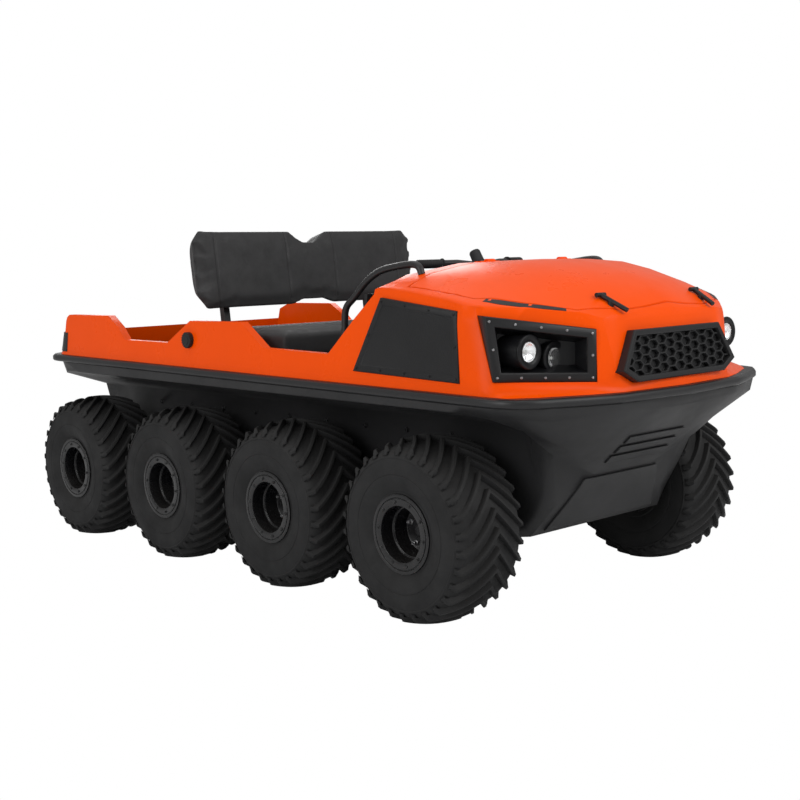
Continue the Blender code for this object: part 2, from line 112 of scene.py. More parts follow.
def colour_drift_group():
    """Slow and fine changes of tone over a surface, darker by up to an amount."""
    group, given, result = new_group(
        "colour drift",
        [("Color", "NodeSocketColor", WHITE), ("Amount", "NodeSocketFloat", 0.1),
         ("Size", "NodeSocketFloat", 0.2)],
        [("Color", "NodeSocketColor"), ("Mask", "NodeSocketFloat")])
    place = put(group, "ShaderNodeTexCoord").outputs["Object"]
    per_metre = calculated(group, "DIVIDE", 1.0, given.outputs["Size"])
    noise = put(group, "ShaderNodeTexNoise", {"Vector": place, "Scale": per_metre, "Detail": 6.0,
                                              "Roughness": 0.6}).outputs["Fac"]
    mask = spread_out(group, noise, 0.35, 0.7)
    amount = calculated(group, "MULTIPLY", mask, given.outputs["Amount"])
    mixed = mixed_colour(group, amount, given.outputs["Color"], (0.0, 0.0, 0.0, 1.0))
    group.links.new(mixed, result.inputs["Color"])
    group.links.new(mask, result.inputs["Mask"])
    return group


def settled_dust_group():
    """A thin film of pale dust on what faces up, thicker in patches."""
    group, given, result = new_group(
        "settled dust",
        [("Color", "NodeSocketColor", WHITE), ("Amount", "NodeSocketFloat", 0.1)],
        [("Color", "NodeSocketColor")])
    place = put(group, "ShaderNodeTexCoord").outputs["Object"]
    upward = put(group, "ShaderNodeSeparateXYZ",
                 {0: put(group, "ShaderNodeNewGeometry").outputs["Normal"]}).outputs["Z"]
    faces_up = spread_out(group, upward, -0.1, 1.0)
    patches = put(group, "ShaderNodeTexNoise", {"Vector": place, "Scale": 9.0, "Detail": 8.0,
                                                "Roughness": 0.7}).outputs["Fac"]
    spread = calculated(group, "MULTIPLY", faces_up, patches)
    mask = calculated(group, "MULTIPLY", spread, given.outputs["Amount"])
    mixed = mixed_colour(group, mask, given.outputs["Color"], (0.32, 0.29, 0.25, 1.0))
    group.links.new(mixed, result.inputs["Color"])
    return group


def worn_edge_group():
    """Finds outer corners, where handling rubs a finish through."""
    group, given, result = new_group(
        "worn edges", [("Width", "NodeSocketFloat", 0.002)], [("Mask", "NodeSocketFloat")])
    place = put(group, "ShaderNodeTexCoord").outputs["Object"]
    rounded = put(group, "ShaderNodeBevel", {"Radius": given.outputs["Width"]},
                  samples=4).outputs[0]
    true_normal = put(group, "ShaderNodeNewGeometry").outputs["Normal"]
    along = put(group, "ShaderNodeVectorMath", {0: rounded, 1: true_normal},
                operation="DOT_PRODUCT").outputs["Value"]
    corner = spread_out(group, along, 0.98, 0.80)
    patches = put(group, "ShaderNodeTexNoise",
                  {"Vector": place, "Scale": 60.0, "Detail": 5.0}).outputs["Fac"]
    broken = spread_out(group, patches, 0.42, 0.62)
    mask = calculated(group, "MULTIPLY", corner, broken)
    group.links.new(mask, result.inputs["Mask"])
    return group


GRAIN = moulded_grain_group()
DRIFT = colour_drift_group()
DUST = settled_dust_group()
WORN = worn_edge_group()


def new_finish(name, roughness, **plain):
    """A material with a Principled shader, its plain sockets set by name."""
    material = bpy.data.materials.new(name)
    material.use_nodes = True
    tree = material.node_tree
    shader = tree.nodes["Principled BSDF"]
    shader.inputs["Roughness"].default_value = roughness
    for socket, value in plain.items():
        shader.inputs[socket.replace("_", " ").title().replace("Ior", "IOR")].default_value = value
    return material, tree, shader


def layered_colour(tree, shader, colour, drift, size, dust, low, high):
    """Base colour with drift and dust, and a roughness that follows the drift."""
    drifted = put(tree, "ShaderNodeGroup",
                  {"Color": (*colour, 1.0), "Amount": drift, "Size": size}, node_tree=DRIFT)
    dusted = put(tree, "ShaderNodeGroup",
                 {"Color": drifted.outputs["Color"], "Amount": dust}, node_tree=DUST)
    tree.links.new(dusted.outputs["Color"], shader.inputs["Base Color"])
    spread = put(tree, "ShaderNodeMapRange",
                 {"Value": drifted.outputs["Mask"], "To Min": low, "To Max": high})
    tree.links.new(spread.outputs[0], shader.inputs["Roughness"])
    return dusted.outputs["Color"]


def grain_bump(tree, shader, grain_size, depth, ripple=0.3, rounding=0.002):
    """Grain over edges that catch the light as if they were rounded."""
    grain = put(tree, "ShaderNodeGroup", {"Grain Size": grain_size, "Ripple": ripple},
                node_tree=GRAIN)
    soft_edges = put(tree, "ShaderNodeBevel", {"Radius": rounding}, samples=6)
    bump = put(tree, "ShaderNodeBump", {"Height": grain.outputs["Height"], "Distance": depth,
                                        "Strength": 1.0, "Normal": soft_edges.outputs[0]})
    tree.links.new(bump.outputs[0], shader.inputs["Normal"])


def moulded_plastic(name, colour, roughness, drift, dust, grain_size, depth, rounding=0.003,
                    shine=0.4):
    material, tree, shader = new_finish(name, roughness, specular_ior_level=shine)
    layered_colour(tree, shader, colour, drift, 0.22, dust, roughness - 0.05, roughness + 0.08)
    grain_bump(tree, shader, grain_size, depth, rounding=rounding)
    return material


def tyre_rubber():
    material, tree, shader = new_finish("tyre rubber", 0.78, specular_ior_level=0.28)
    layered_colour(tree, shader, (0.0175, 0.0175, 0.0180), 0.18, 0.12, 0.04, 0.62, 0.86)
    grain_bump(tree, shader, 0.0016, 0.0002)
    return material


def painted_steel(name, colour, roughness=0.38):
    """Satin paint over steel, rubbed to bare metal on some corners."""
    material, tree, shader = new_finish(name, roughness)
    paint = layered_colour(tree, shader, colour, 0.2, 0.08, 0.06, roughness - 0.08,
                           roughness + 0.1)
    worn = put(tree, "ShaderNodeGroup", {"Width": 0.0015}, node_tree=WORN)
    rubbed = mixed_colour(tree, worn.outputs["Mask"], paint, (0.20, 0.20, 0.20, 1.0))
    tree.links.new(rubbed, shader.inputs["Base Color"])
    grain_bump(tree, shader, 0.004, 0.00005)
    return material


def seat_vinyl():
    """Soft black vinyl with a pebbled grain and a faint sheen."""
    material, tree, shader = new_finish("seat vinyl", 0.55, specular_ior_level=0.4,
                                        sheen_weight=0.08, sheen_roughness=0.5)
    layered_colour(tree, shader, (0.019, 0.019, 0.020), 0.20, 0.06, 0.03, 0.48, 0.66)
    grain_bump(tree, shader, 0.0022, 0.0004, 0.6)
    return material


def bare_steel():
    material, tree, shader = new_finish("zinc plated steel", 0.34, metallic=1.0)
    layered_colour(tree, shader, (0.46, 0.46, 0.47), 0.35, 0.03, 0.1, 0.25, 0.5)
    grain_bump(tree, shader, 0.003, 0.00004)
    return material


def mirror_metal():
    """Vacuum coated reflector with a faint haze, made brighter by a faint white glow of its own that
    is a painted glint.
    """
    # The white emission is painted light: a glint on the reflector, not a lit lamp.
    material, tree, shader = new_finish("reflector with painted glint", 0.28, metallic=1.0,
                                        emission_color=WHITE, emission_strength=0.25)
    layered_colour(tree, shader, (0.86, 0.87, 0.88), 0.08, 0.02, 0.02, 0.20, 0.34)
    return material


def lamp_glass(name, colour):
    """A moulded lens with fine flutes across it."""
    material, tree, shader = new_finish(name, 0.02, base_color=(*colour, 1.0),
                                        transmission_weight=0.97, ior=1.3)
    place = put(tree, "ShaderNodeTexCoord").outputs["Object"]
    flutes = put(tree, "ShaderNodeTexWave", {"Vector": place, "Scale": 55.0, "Distortion": 0.4},
                 bands_direction="X")
    bump = put(tree, "ShaderNodeBump", {"Height": flutes.outputs["Fac"], "Distance": 0.0004,
                                        "Strength": 0.6})
    tree.links.new(bump.outputs[0], shader.inputs["Normal"])
    return material

FINISHES = {
    "orange": moulded_plastic("orange moulding", (1.0, 0.088, 0.0), 0.30, 0.03, 0.0, 0.0024,
                              0.0001, 0.003, 0.12),
    "black": moulded_plastic("black hull moulding", (0.022, 0.022, 0.023), 0.46, 0.14, 0.03,
                             0.0028, 0.0003, 0.008, 0.32),
    "rail": moulded_plastic("black rub rail", (0.016, 0.016, 0.017), 0.40, 0.14, 0.03, 0.0020,
                            0.0002, 0.003, 0.4),
    "trim": moulded_plastic("black trim moulding", (0.013, 0.013, 0.014), 0.42, 0.15, 0.02,
                            0.0016, 0.0002, 0.002, 0.32),
    "speckled": moulded_plastic("speckled black panel", (0.013, 0.013, 0.014), 0.50, 0.30, 0.03,
                                0.0045, 0.0007, 0.002, 0.3),
    # Deep black for the lamp rings and barrels, also used as painted shade on the faces deep inside
    # the lamp pockets.
    "black_and_painted_shade": moulded_plastic("deep black moulding and painted pocket shade", (0.006, 0.006, 0.007), 0.35, 0.15, 0.0,
                                0.0016, 0.0001, 0.002, 0.3),
    "deck": moulded_plastic("floor deck", (0.035, 0.035, 0.036), 0.60, 0.25, 0.25, 0.006, 0.0008),
    "rubber": tyre_rubber(),
    "rim": painted_steel("black painted rim", (0.005, 0.005, 0.006), 0.26),
    "frame": painted_steel("black tube frame", (0.014, 0.014, 0.015)),
    "engine": painted_steel("grey engine paint", (0.10, 0.10, 0.11)),
    "vinyl": seat_vinyl(),
    "steel": bare_steel(),
    "mirror": mirror_metal(),
    "lens": lamp_glass("clear lamp glass", (1.0, 1.0, 1.0)),
    "red lens": lamp_glass("red lamp plastic", (0.55, 0.01, 0.01)),
    "valve": moulded_plastic("pale valve cap", (0.75, 0.75, 0.73), 0.4, 0.1, 0.05, 0.002, 0.00005,
                             0.001),
}

# What isn't named here, by itself or by its first word, is black trim.
FAMILY_FINISHES = {"tyre": "rubber", "rim": "rim", "axle": "steel", "floor": "deck",
                   "side": "speckled"}
NODE_FINISHES = {
    "upper_body": "orange", "hood": "orange", "lower_hull": "black", "rub_rail": "black",
    "seat_cushion": "vinyl", "seat_back": "vinyl", "seat_frame": "frame",
    "steering_column": "frame", "handlebar": "frame", "engine_block": "engine",
}


def dress_cad_nodes():
    for name, node in NODES.items():
        look = FAMILY_FINISHES.get(name.split("_")[0], NODE_FINISHES.get(name, "trim"))
        node.data.materials.clear()
        node.data.materials.append(FINISHES[look])


# Meshes

WELD = 0.00005
AXLE_Z = 0.3175
WHEEL_Y = (-0.9555, -0.2335, 0.4885, 1.2105)
TYRE_MIDDLE = 0.62125
TYRE_HALF = 0.15125
TREAD_HALF = 0.118
TREAD_RADIUS = 0.2975
TREAD_DROP = 0.0115
LUGS = 30
LUG_TOP = 0.3172
LUG_DROP = 0.0212
LUG_ROOT = 0.004
LUG_EDGE = 0.1358
LUG_SWEEP = math.radians(24)
LAMPS = ((0.5535, -1.345, 0.918), (0.440, -1.3525, 0.892))
LAMP_PANEL = [(0.655, -1.285, 0.828), (0.365, -1.462, 0.815), (0.365, -1.462, 0.982),
              (0.648, -1.222, 1.035)]
SIDE_PANEL = [(0.667, -0.636, 0.836), (0.667, -1.152, 0.818), (0.653, -1.135, 1.048),
              (0.651, -0.772, 1.090)]
GRILLE = [(0.245, -1.525, 0.806), (-0.245, -1.525, 0.806), (-0.316, -1.520, 0.845),
          (-0.240, -1.500, 0.972), (0.240, -1.500, 0.972), (0.316, -1.520, 0.845)]
CELL_PITCH = 0.046
CELL_RISE = 0.031
CELL_RIB = 0.0032
BORDER_RISE = 0.006
PAINTED_SHADE_FROM = 0.004
PATCH_ROOT = 0.002
STRAY_HIT = 0.05
COLUMN_TOP = Vector((0.150, -0.500, 1.150))
COLUMN_AXIS = Vector((0, 0.5, math.cos(math.radians(30))))
GRIP_RIBS = 11
GRIP_END = 0.008
CAP_RIBS = 18
CLIP_Y = (-0.850, -0.623, -0.394, -0.167, 0.070, 0.300, 0.530, 0.775, 1.017)
STUFFING_FRAMES = 20


def add_object(name, data):
    thing = bpy.data.objects.new(name, data)
    bpy.context.scene.collection.objects.link(thing)
    return thing


def new_piece(name, sheet, look, smooth=32):
    """Makes an object from a mesh under construction, with its finish."""
    bmesh.ops.recalc_face_normals(sheet, faces=sheet.faces)
    mesh = bpy.data.meshes.new(name)
    sheet.to_mesh(mesh)
    sheet.free()
    mesh.polygons.foreach_set("use_smooth", [True] * len(mesh.polygons))
    mesh.set_sharp_from_angle(angle=math.radians(smooth))
    mesh.materials.append(FINISHES[look])
    return add_object(name.replace(" ", "_"), mesh)


def applied(piece):
    """Bakes the modifiers of a piece into its mesh."""
    bpy.context.view_layer.update()
    evaluated = piece.evaluated_get(bpy.context.evaluated_depsgraph_get())
    mesh = bpy.data.meshes.new_from_object(evaluated)
    piece.modifiers.clear()
    piece.data = mesh
    return mesh


def turn(sheet, profile, centre, direction, steps=48, closed=False):
    """Turns a profile of (along, radius) about an axis through the centre."""
    axis = Vector(direction).normalized()
    across = axis.orthogonal().normalized()
    upward = axis.cross(across)
    rings = []
    for along, radius in profile:
        base = Vector(centre) + axis * along
        count = 1 if radius < 1e-6 else steps
        angles = [math.tau * step / steps for step in range(count)]
        rings.append([sheet.verts.new(base + (across * math.cos(a) + upward * math.sin(a)) * radius)
                      for a in angles])
    pairs = list(zip(rings, rings[1:])) + ([(rings[-1], rings[0])] if closed else [])
    for low, high in pairs:
        for step in range(steps):
            after = (step + 1) % steps
            corners = [low[step % len(low)], low[after % len(low)],
                       high[after % len(high)], high[step % len(high)]]
            corners = list(dict.fromkeys(corners))
            if len(corners) > 2:
                sheet.faces.new(corners)


def smooth_path(points, parts=5):
    """A curve through the points, as a longer list of points."""
    points = [Vector(point) for point in points]
    padded = [2 * points[0] - points[1], *points, 2 * points[-1] - points[-2]]
    result = []
    for a, b, c, d in zip(padded, padded[1:], padded[2:], padded[3:]):
        for part in range(parts):
            t = part / parts
            result.append(0.5 * (2 * b + (c - a) * t + (2 * a - 5 * b + 4 * c - d) * t * t
                                 + (3 * b - a - 3 * c + d) * t ** 3))
    return result + [points[-1]]


def join_rings(sheet, rings, caps=(0, -1)):
    """Faces between rings with as many corners each, and over the end rings."""
    for low, high in zip(rings, rings[1:]):
        for step, vertex in enumerate(low):
            after = (step + 1) % len(low)
            sheet.faces.new((vertex, low[after], high[after], high[step]))
    for cap in caps:
        sheet.faces.new(rings[cap])


def sweep(sheet, points, radius, sides=20):
    """A round tube along the points, closed at its ends."""
    across = (points[1] - points[0]).orthogonal().normalized()
    rings = []
    for index, point in enumerate(points):
        along = (points[min(index + 1, len(points) - 1)] - points[max(index - 1, 0)]).normalized()
        across = (across - along * across.dot(along)).normalized()
        upward = along.cross(across)
        rings.append([sheet.verts.new(point + radius * (across * math.cos(a) + upward * math.sin(a)))
                      for a in (math.tau * side / sides for side in range(sides))])
    join_rings(sheet, rings)


def turned_piece(name, profile, centre, direction, look, body, steps=48, closed=False,
                 smooth=32):
    """A piece turned from one profile, which rides on a body."""
    sheet = bmesh.new()
    turn(sheet, profile, centre, direction, steps, closed)
    piece = new_piece(name, sheet, look, smooth)
    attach(piece, body)
    return piece


def surface_tree(node_name):
    """The surface of a CAD node, for casting rays at it."""
    node = NODES[node_name]
    corners = [node.matrix_world @ vertex.co for vertex in node.data.vertices]
    return BVHTree.FromPolygons(corners, [list(face.vertices) for face in node.data.polygons])


def surface_patch(name, node_name, rows, direction, proud, look):
    """A thin moulding on the surface of a CAD node, under a grid of points."""
    tree = surface_tree(node_name)
    way = Vector(direction).normalized()
    sheet = bmesh.new()
    outer, inner = [], []
    for row in rows:
        hits = [tree.ray_cast(Vector(point), way)[0] for point in row]
        reach = sorted((hit - Vector(point)).length for hit, point in zip(hits, row)
                       if hit is not None)
        usual = reach[len(reach) // 2]
        hits = [hit if hit is not None and abs((hit - Vector(point)).length - usual) < STRAY_HIT
                else Vector(point) + way * usual for hit, point in zip(hits, row)]
        outer.append([sheet.verts.new(hit - way * proud) for hit in hits])
        inner.append([sheet.verts.new(hit + way * PATCH_ROOT) for hit in hits])
    last_row, last = len(rows) - 1, len(rows[0]) - 1
    for grid in (outer, inner):
        for row in range(last_row):
            for column in range(last):
                sheet.faces.new((grid[row][column], grid[row][column + 1],
                                 grid[row + 1][column + 1], grid[row + 1][column]))
    rim = [(0, column) for column in range(last)] + [(row, last) for row in range(last_row)]
    rim += [(last_row, column) for column in range(last, 0, -1)]
    rim += [(row, 0) for row in range(last_row, 0, -1)]
    for (a, b), (c, d) in zip(rim, rim[1:] + rim[:1]):
        sheet.faces.new((outer[a][b], outer[c][d], inner[c][d], inner[a][b]))
    piece = new_piece(name, sheet, look, 40)
    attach(piece, "hull")


# Fasteners

def head_shape(name, sides, radius, height, socket):
    """A fastener's head on a flange, along +Z, with a round socket in its top."""
    sheet = bmesh.new()
    turn(sheet, [(0.0, 0.0), (0.0, radius * 1.3), (height * 0.2, radius * 1.3),
                 (height * 0.3, radius * 1.2), (height * 0.3, radius), (height * 0.85, radius),
                 (height, radius * 0.82), (height, socket), (height * 0.6, socket * 0.9),
                 (height * 0.6, 0.0)], (0, 0, 0), (0, 0, 1), sides)
    return new_piece(name, sheet, "steel")


def fastener_tree():
    """Geometry nodes that set a head on each point, turned to face the way it asks."""
    tree = bpy.data.node_groups.new("fasteners", "GeometryNodeTree")
    for label, kind in (("Geometry", "Geometry"), ("Head", "Object"), ("Size", "Float"),
                        ("Spin Seed", "Int"), ("Finish", "Material")):
        tree.interface.new_socket(label, in_out="INPUT", socket_type=f"NodeSocket{kind}")
    tree.interface.new_socket("Geometry", in_out="OUTPUT", socket_type="NodeSocketGeometry")
    given, result = put(tree, "NodeGroupInput"), put(tree, "NodeGroupOutput")
    facing = put(tree, "GeometryNodeInputNamedAttribute", {"Name": "facing"},
                 data_type="FLOAT_VECTOR")
    aimed = put(tree, "FunctionNodeAlignRotationToVector", {"Vector": facing.outputs["Attribute"]},
                axis="Z")
    spin = put(tree, "FunctionNodeRandomValue",
               {2: 0.0, 3: math.tau, "Seed": given.outputs["Spin Seed"]}, data_type="FLOAT")
    about = put(tree, "FunctionNodeAxisAngleToRotation",
                {"Axis": (0.0, 0.0, 1.0), "Angle": spin.outputs[1]})
    turned = put(tree, "FunctionNodeRotateRotation", {0: aimed.outputs[0], 1: about.outputs[0]},
                 rotation_space="LOCAL")
    head = put(tree, "GeometryNodeObjectInfo", {"Object": given.outputs["Head"]})
    copies = put(tree, "GeometryNodeInstanceOnPoints",
                 {"Points": given.outputs["Geometry"], "Instance": head.outputs["Geometry"],
                  "Rotation": turned.outputs[0], "Scale": given.outputs["Size"]})
    real = put(tree, "GeometryNodeRealizeInstances", {"Geometry": copies.outputs[0]})
    painted = put(tree, "GeometryNodeSetMaterial", {"Geometry": real.outputs[0],
                                                    "Material": given.outputs["Finish"]})
    tree.links.new(painted.outputs[0], result.inputs[0])
    return tree


def fasten(name, places, head, look, body, size, seed):
    """Fasteners at (place, direction), as one piece that rides on a body."""
    mesh = bpy.data.meshes.new(name)
    mesh.from_pydata([tuple(place) for place, _ in places], [], [])
    facing = mesh.attributes.new("facing", "FLOAT_VECTOR", "POINT")
    for item, (_, direction) in zip(facing.data, places):
        item.vector = direction
    piece = add_object(name.replace(" ", "_"), mesh)
    modifier = piece.modifiers.new("fasteners", "NODES")
    modifier.node_group = FASTENERS
    values = {"Head": head, "Size": size, "Spin Seed": seed, "Finish": FINISHES[look]}
    for item in FASTENERS.interface.items_tree:
        if item.in_out == "INPUT" and item.name in values:
            modifier[item.identifier] = values[item.name]
    applied(piece)
    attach(piece, body)


FASTENERS = fastener_tree()


# Wheels

def carcass_radius(out):
    """The tyre's radius between its lugs, by distance from its middle plane."""
    return TREAD_RADIUS - TREAD_DROP * (abs(out) / TREAD_HALF) ** 2.2


def add_lug(sheet, side, centre, angle):
    """One swept chevron bar across the tread."""
    half = [0.0, 0.004, 0.012, 0.024, 0.038, 0.053, 0.068, 0.083, 0.098, 0.112, 0.125, LUG_EDGE,
            0.1440, 0.1490]
    rings = []
    for out in [-value for value in reversed(half[1:])] + half:
        share = min(abs(out) / LUG_EDGE, 1.0)
        lean = angle - LUG_SWEEP * (1.0 - share) ** 1.12
        past = max(abs(out) - LUG_EDGE, 0.0)
        top = LUG_TOP - LUG_DROP * share ** 2 - past * 2.0
        foot = min(carcass_radius(out), top) - LUG_ROOT
        section = [(-0.0150, foot), (-0.0092, top - 0.0035), (-0.0068, top)]
        section += [(-width, radius) for width, radius in reversed(section)]
        ring = []
        for width, radius in section:
            way = lean + width / radius * (1.0 - 0.15 * share)
            ring.append(sheet.verts.new(Vector((side * (TYRE_MIDDLE + out), 0, 0)) + centre
                                        + Vector((0, radius * math.cos(way), radius * math.sin(way)))))
        rings.append(ring)
    join_rings(sheet, rings)


def make_tyre(word, side, number):
    centre = Vector((0, WHEEL_Y[number - 1], AXLE_Z))
    inset = [(0.0240, 0.1196), (0.0215, 0.1270), (0.0168, 0.1325), (0.0152, 0.1365),
             (0.0166, 0.1405), (0.0150, 0.1440), (0.0098, 0.1550), (0.0048, 0.1690),
             (0.0018, 0.1830), (0.0006, 0.1950), (0.0008, 0.1985), (0.0024, 0.2000),
             (0.0008, 0.2015), (0.0002, 0.2150), (0.0005, 0.2320), (0.0018, 0.2480),
             (0.0028, 0.2535), (0.0012, 0.2550), (0.0010, 0.2580), (0.0028, 0.2600),
             (0.0050, 0.2640), (0.0095, 0.2705), (0.0170, 0.2775)]
    half = [(TYRE_HALF - back, radius) for back, radius in inset]
    half += [(out, carcass_radius(out)) for out in (TREAD_HALF, 0.095, 0.070, 0.040, 0.0)]
    profile = half + [(-out, radius) for out, radius in reversed(half[:-1])]
    sheet = bmesh.new()
    turn(sheet, [(TYRE_MIDDLE + out, radius) for out, radius in profile], centre, (side, 0, 0),
         96, True)
    for lug in range(LUGS):
        add_lug(sheet, side, centre, math.tau * (lug + 0.5) / LUGS)
    tyre = new_piece(f"tyre look {word} {number}", sheet, "rubber", 38)
    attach(tyre, f"wheel_{word}_{number}")
    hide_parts(f"tyre_{word}_{number}")


def make_rim(word, side, number, nut, bolt):
    """A stepped rim with its wheel nuts, border bolts and valve."""
    body = f"wheel_{word}_{number}"
    centre = Vector((0, WHEEL_Y[number - 1], AXLE_Z))
    way = Vector((side, 0, 0))
    profile = [(0.600, 0.0), (0.600, 0.0174), (0.430, 0.0174), (0.430, 0.045), (0.640, 0.045),
               (0.640, 0.0965), (0.4940, 0.1045), (0.4940, 0.1188), (0.7480, 0.1188),
               (0.7560, 0.1300), (0.7600, 0.1342), (0.7622, 0.1340), (0.7628, 0.1320),
               (0.7628, 0.1240), (0.7615, 0.1225), (0.7590, 0.1215), (0.7590, 0.1195),
               (0.7625, 0.1180), (0.7628, 0.0985), (0.7615, 0.0955), (0.7570, 0.0940),
               (0.7150, 0.0900), (0.7120, 0.0880), (0.7110, 0.0835), (0.7080, 0.0820),
               (0.6620, 0.0805), (0.6570, 0.0785), (0.6550, 0.0740), (0.6550, 0.0500),
               (0.6570, 0.0465), (0.6660, 0.0445), (0.6685, 0.0420), (0.6685, 0.0220),
               (0.6760, 0.0200), (0.6780, 0.0170), (0.6780, 0.0)]
    rim = turned_piece(f"rim look {word} {number}", profile, centre, way, "rim", body, 72,
                       smooth=28)
    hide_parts(f"rim_{word}_{number}")

    def around(count, radius, x, start):
        return [(centre + Vector((side * x, radius * math.cos(a), radius * math.sin(a))), way)
                for a in (start + math.tau * step / count for step in range(count))]

    fasten(f"wheel nuts {word} {number}", around(5, 0.062, 0.6550, 0.3), nut, "steel", body,
           1.0, number)
    fasten(f"rim bolts {word} {number}", around(10, 0.1075, 0.7628, 0.1), bolt, "frame", body,
           0.9, number)
    turned_piece(f"valve {word} {number}",
                 [(0.0, 0.0), (0.0, 0.0035), (0.022, 0.0035), (0.024, 0.0045), (0.034, 0.0045),
                  (0.035, 0.0035), (0.035, 0.0)],
                 centre + Vector((side * 0.7100, -0.0600, 0.0600)), way, "valve", body, 14)


# Fittings of the body

def on_side(corners, side):
    if side > 0:
        return [Vector(corner) for corner in corners]
    placed = [Vector((-x, y, z)) for x, y, z in corners]
    return [placed[1], placed[0], placed[3], placed[2]]


def flat_panel(corners, side=1):
    """The corners on the plane of the first, second and last, and the way inward."""
    placed = on_side(corners, side)
    inward = (placed[1] - placed[0]).cross(placed[-1] - placed[0]).normalized()
    return [point - inward * inward.dot(point - placed[0]) for point in placed], inward


def inset_corners(corners, inset):
    """Moves the corners of a panel towards each other, with borders of even width."""
    count = len(corners)
    moved = []
    for index, corner in enumerate(corners):
        before = (corners[index - 1] - corner).normalized()
        after = (corners[(index + 1) % count] - corner).normalized()
        moved.append(corner + (before + after) * inset / before.cross(after).length)
    return moved


def border_places(panel, inset, counts):
    """Places along the border of a panel, with the way they face."""
    corners, inward = panel
    outward = -inward
    inner = inset_corners(corners, inset)
    places = []
    for index, count in enumerate(counts):
        start, end = inner[index], inner[(index + 1) % len(inner)]
        for step in range(count):
            places.append((start.lerp(end, step / count) + outward * BORDER_RISE, outward))
    return places


def stepped_frame(name, panel, levels, look, smooth, replaced):
    """A closed moulding round a panel, through (inset, depth), in place of a CAD node."""
    corners, inward = panel
    sheet = bmesh.new()
    join_rings(sheet, [[sheet.verts.new(point + inward * depth)
                        for point in inset_corners(corners, inset)] for inset, depth in levels])
    piece = new_piece(name, sheet, look, smooth)
    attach(piece, "hull")
    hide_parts(replaced)
    return piece


def make_bezel(word, side):
    """The moulded surround of the lamps: a screwed border round a deep pocket, whose inner faces are
    painted darker as shade.
    """
    panel = flat_panel(LAMP_PANEL, side)
    corners, inward = panel
    levels = ((0.050, 0.062), (0.047, 0.055), (0.031, 0.002), (0.029, -0.0035),
              (0.026, -BORDER_RISE), (0.003, -BORDER_RISE), (0.0, -0.003), (0.0, 0.070))
    bezel = stepped_frame(f"lamp bezel {word}", panel, levels, "trim", 50, f"lamp_unit_{word}")
    # Faces deep in the pocket take the deeper black: painted shade in the recess.
    bezel.data.materials.append(FINISHES["black_and_painted_shade"])
    for polygon in bezel.data.polygons:
        if inward.dot(polygon.center - corners[0]) > PAINTED_SHADE_FROM:
            polygon.material_index = 1
    return panel


def make_side_panel(word, side):
    """The side panel: a plain border round a slightly sunk, speckled field."""
    panel = flat_panel(SIDE_PANEL, side)
    levels = ((0.027, -0.0025), (0.024, -0.0035), (0.022, -BORDER_RISE), (0.003, -BORDER_RISE),
              (0.0, -0.003), (0.0, 0.018))
    stepped_frame(f"side panel look {word}", panel, levels, "speckled", 50, f"side_panel_{word}")
    return panel


def make_grille():
    """A raised frame round a honeycomb of wide six sided cells."""
    panel = flat_panel(GRILLE)
    corners, inward = panel
    levels = ((0.022, 0.020), (0.021, -0.007), (0.019, -0.0135), (0.016, -0.015),
              (0.004, -0.015), (0.0, -0.011), (0.0, 0.028))
    stepped_frame("grille frame", panel, levels, "trim", 40, "grille")
    across = Vector((1, 0, 0))
    upward = inward.cross(across).normalized()
    middle = sum(corners, Vector()) / len(corners)
    sheet = bmesh.new()
    hexagon = [(-1, 0), (-0.5, -1), (0.5, -1), (1, 0), (0.5, 1), (-0.5, 1)]

    def cell_ring(centre, narrower, lower, depth):
        half_width = CELL_PITCH * 2 / 3 - CELL_RIB * narrower
        half_height = CELL_RISE / 2 - CELL_RIB * lower
        return [sheet.verts.new(centre + across * (u * half_width) + upward * (v * half_height)
                                + inward * depth) for u, v in hexagon]

    for column in range(-8, 9):
        for row in range(-4, 5):
            centre = middle + across * (column * CELL_PITCH)
            centre += upward * ((row + 0.5 * (column % 2)) * CELL_RISE)
            join_rings(sheet, [cell_ring(centre, 0, 0, -0.0065),
                               cell_ring(centre, 0.75, 0.65, -0.0065),
                               cell_ring(centre, 1.3, 1, -0.0045),
                               cell_ring(centre, 1.7, 1.35, 0.0080)], (-1,))
    bmesh.ops.remove_doubles(sheet, verts=sheet.verts, dist=0.0001)
    edge = inset_corners(corners, 0.0205)
    for index, corner in enumerate(edge):
        along = edge[(index + 1) % len(edge)] - corner
        outward = along.cross(inward).normalized()
        if outward.dot(corner - middle) < 0:
            outward = -outward
        bmesh.ops.bisect_plane(sheet, geom=sheet.verts[:] + sheet.edges[:] + sheet.faces[:],
                               plane_co=corner, plane_no=outward, clear_outer=True)
    cells = new_piece("grille cells", sheet, "trim", 35)
    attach(cells, "hull")


def make_latch(word, side):
    """A rubber pull latch that holds the hood's front edge down."""
    surface = hood_height(side * 0.250, -1.400)
    top = Vector((side * 0.262, -1.400, surface + 0.010))
    foot = Vector((side * 0.242, -1.492, surface - 0.040))
    sheet = bmesh.new()
    sweep(sheet, smooth_path([top, top.lerp(foot, 0.35), top.lerp(foot, 0.7), foot]), 0.0078, 14)
    sweep(sheet, [top - Vector((0.022, 0, 0)), top + Vector((0.022, 0, 0))], 0.0075, 14)
    base = top.lerp(foot, 0.4)
    turn(sheet, [(0.0, 0.0), (0.0, 0.010), (0.030, 0.012), (0.030, 0.0)], base, (0, 0.15, -1), 20)
    latch = new_piece(f"hood latch {word}", sheet, "trim")
    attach(latch, "hood")


def hood_height(x, y):
    """The height of the hood's top at a place."""
    return surface_tree("hood").ray_cast(Vector((x, y, 2.0)), Vector((0, 0, -1)))[0].z


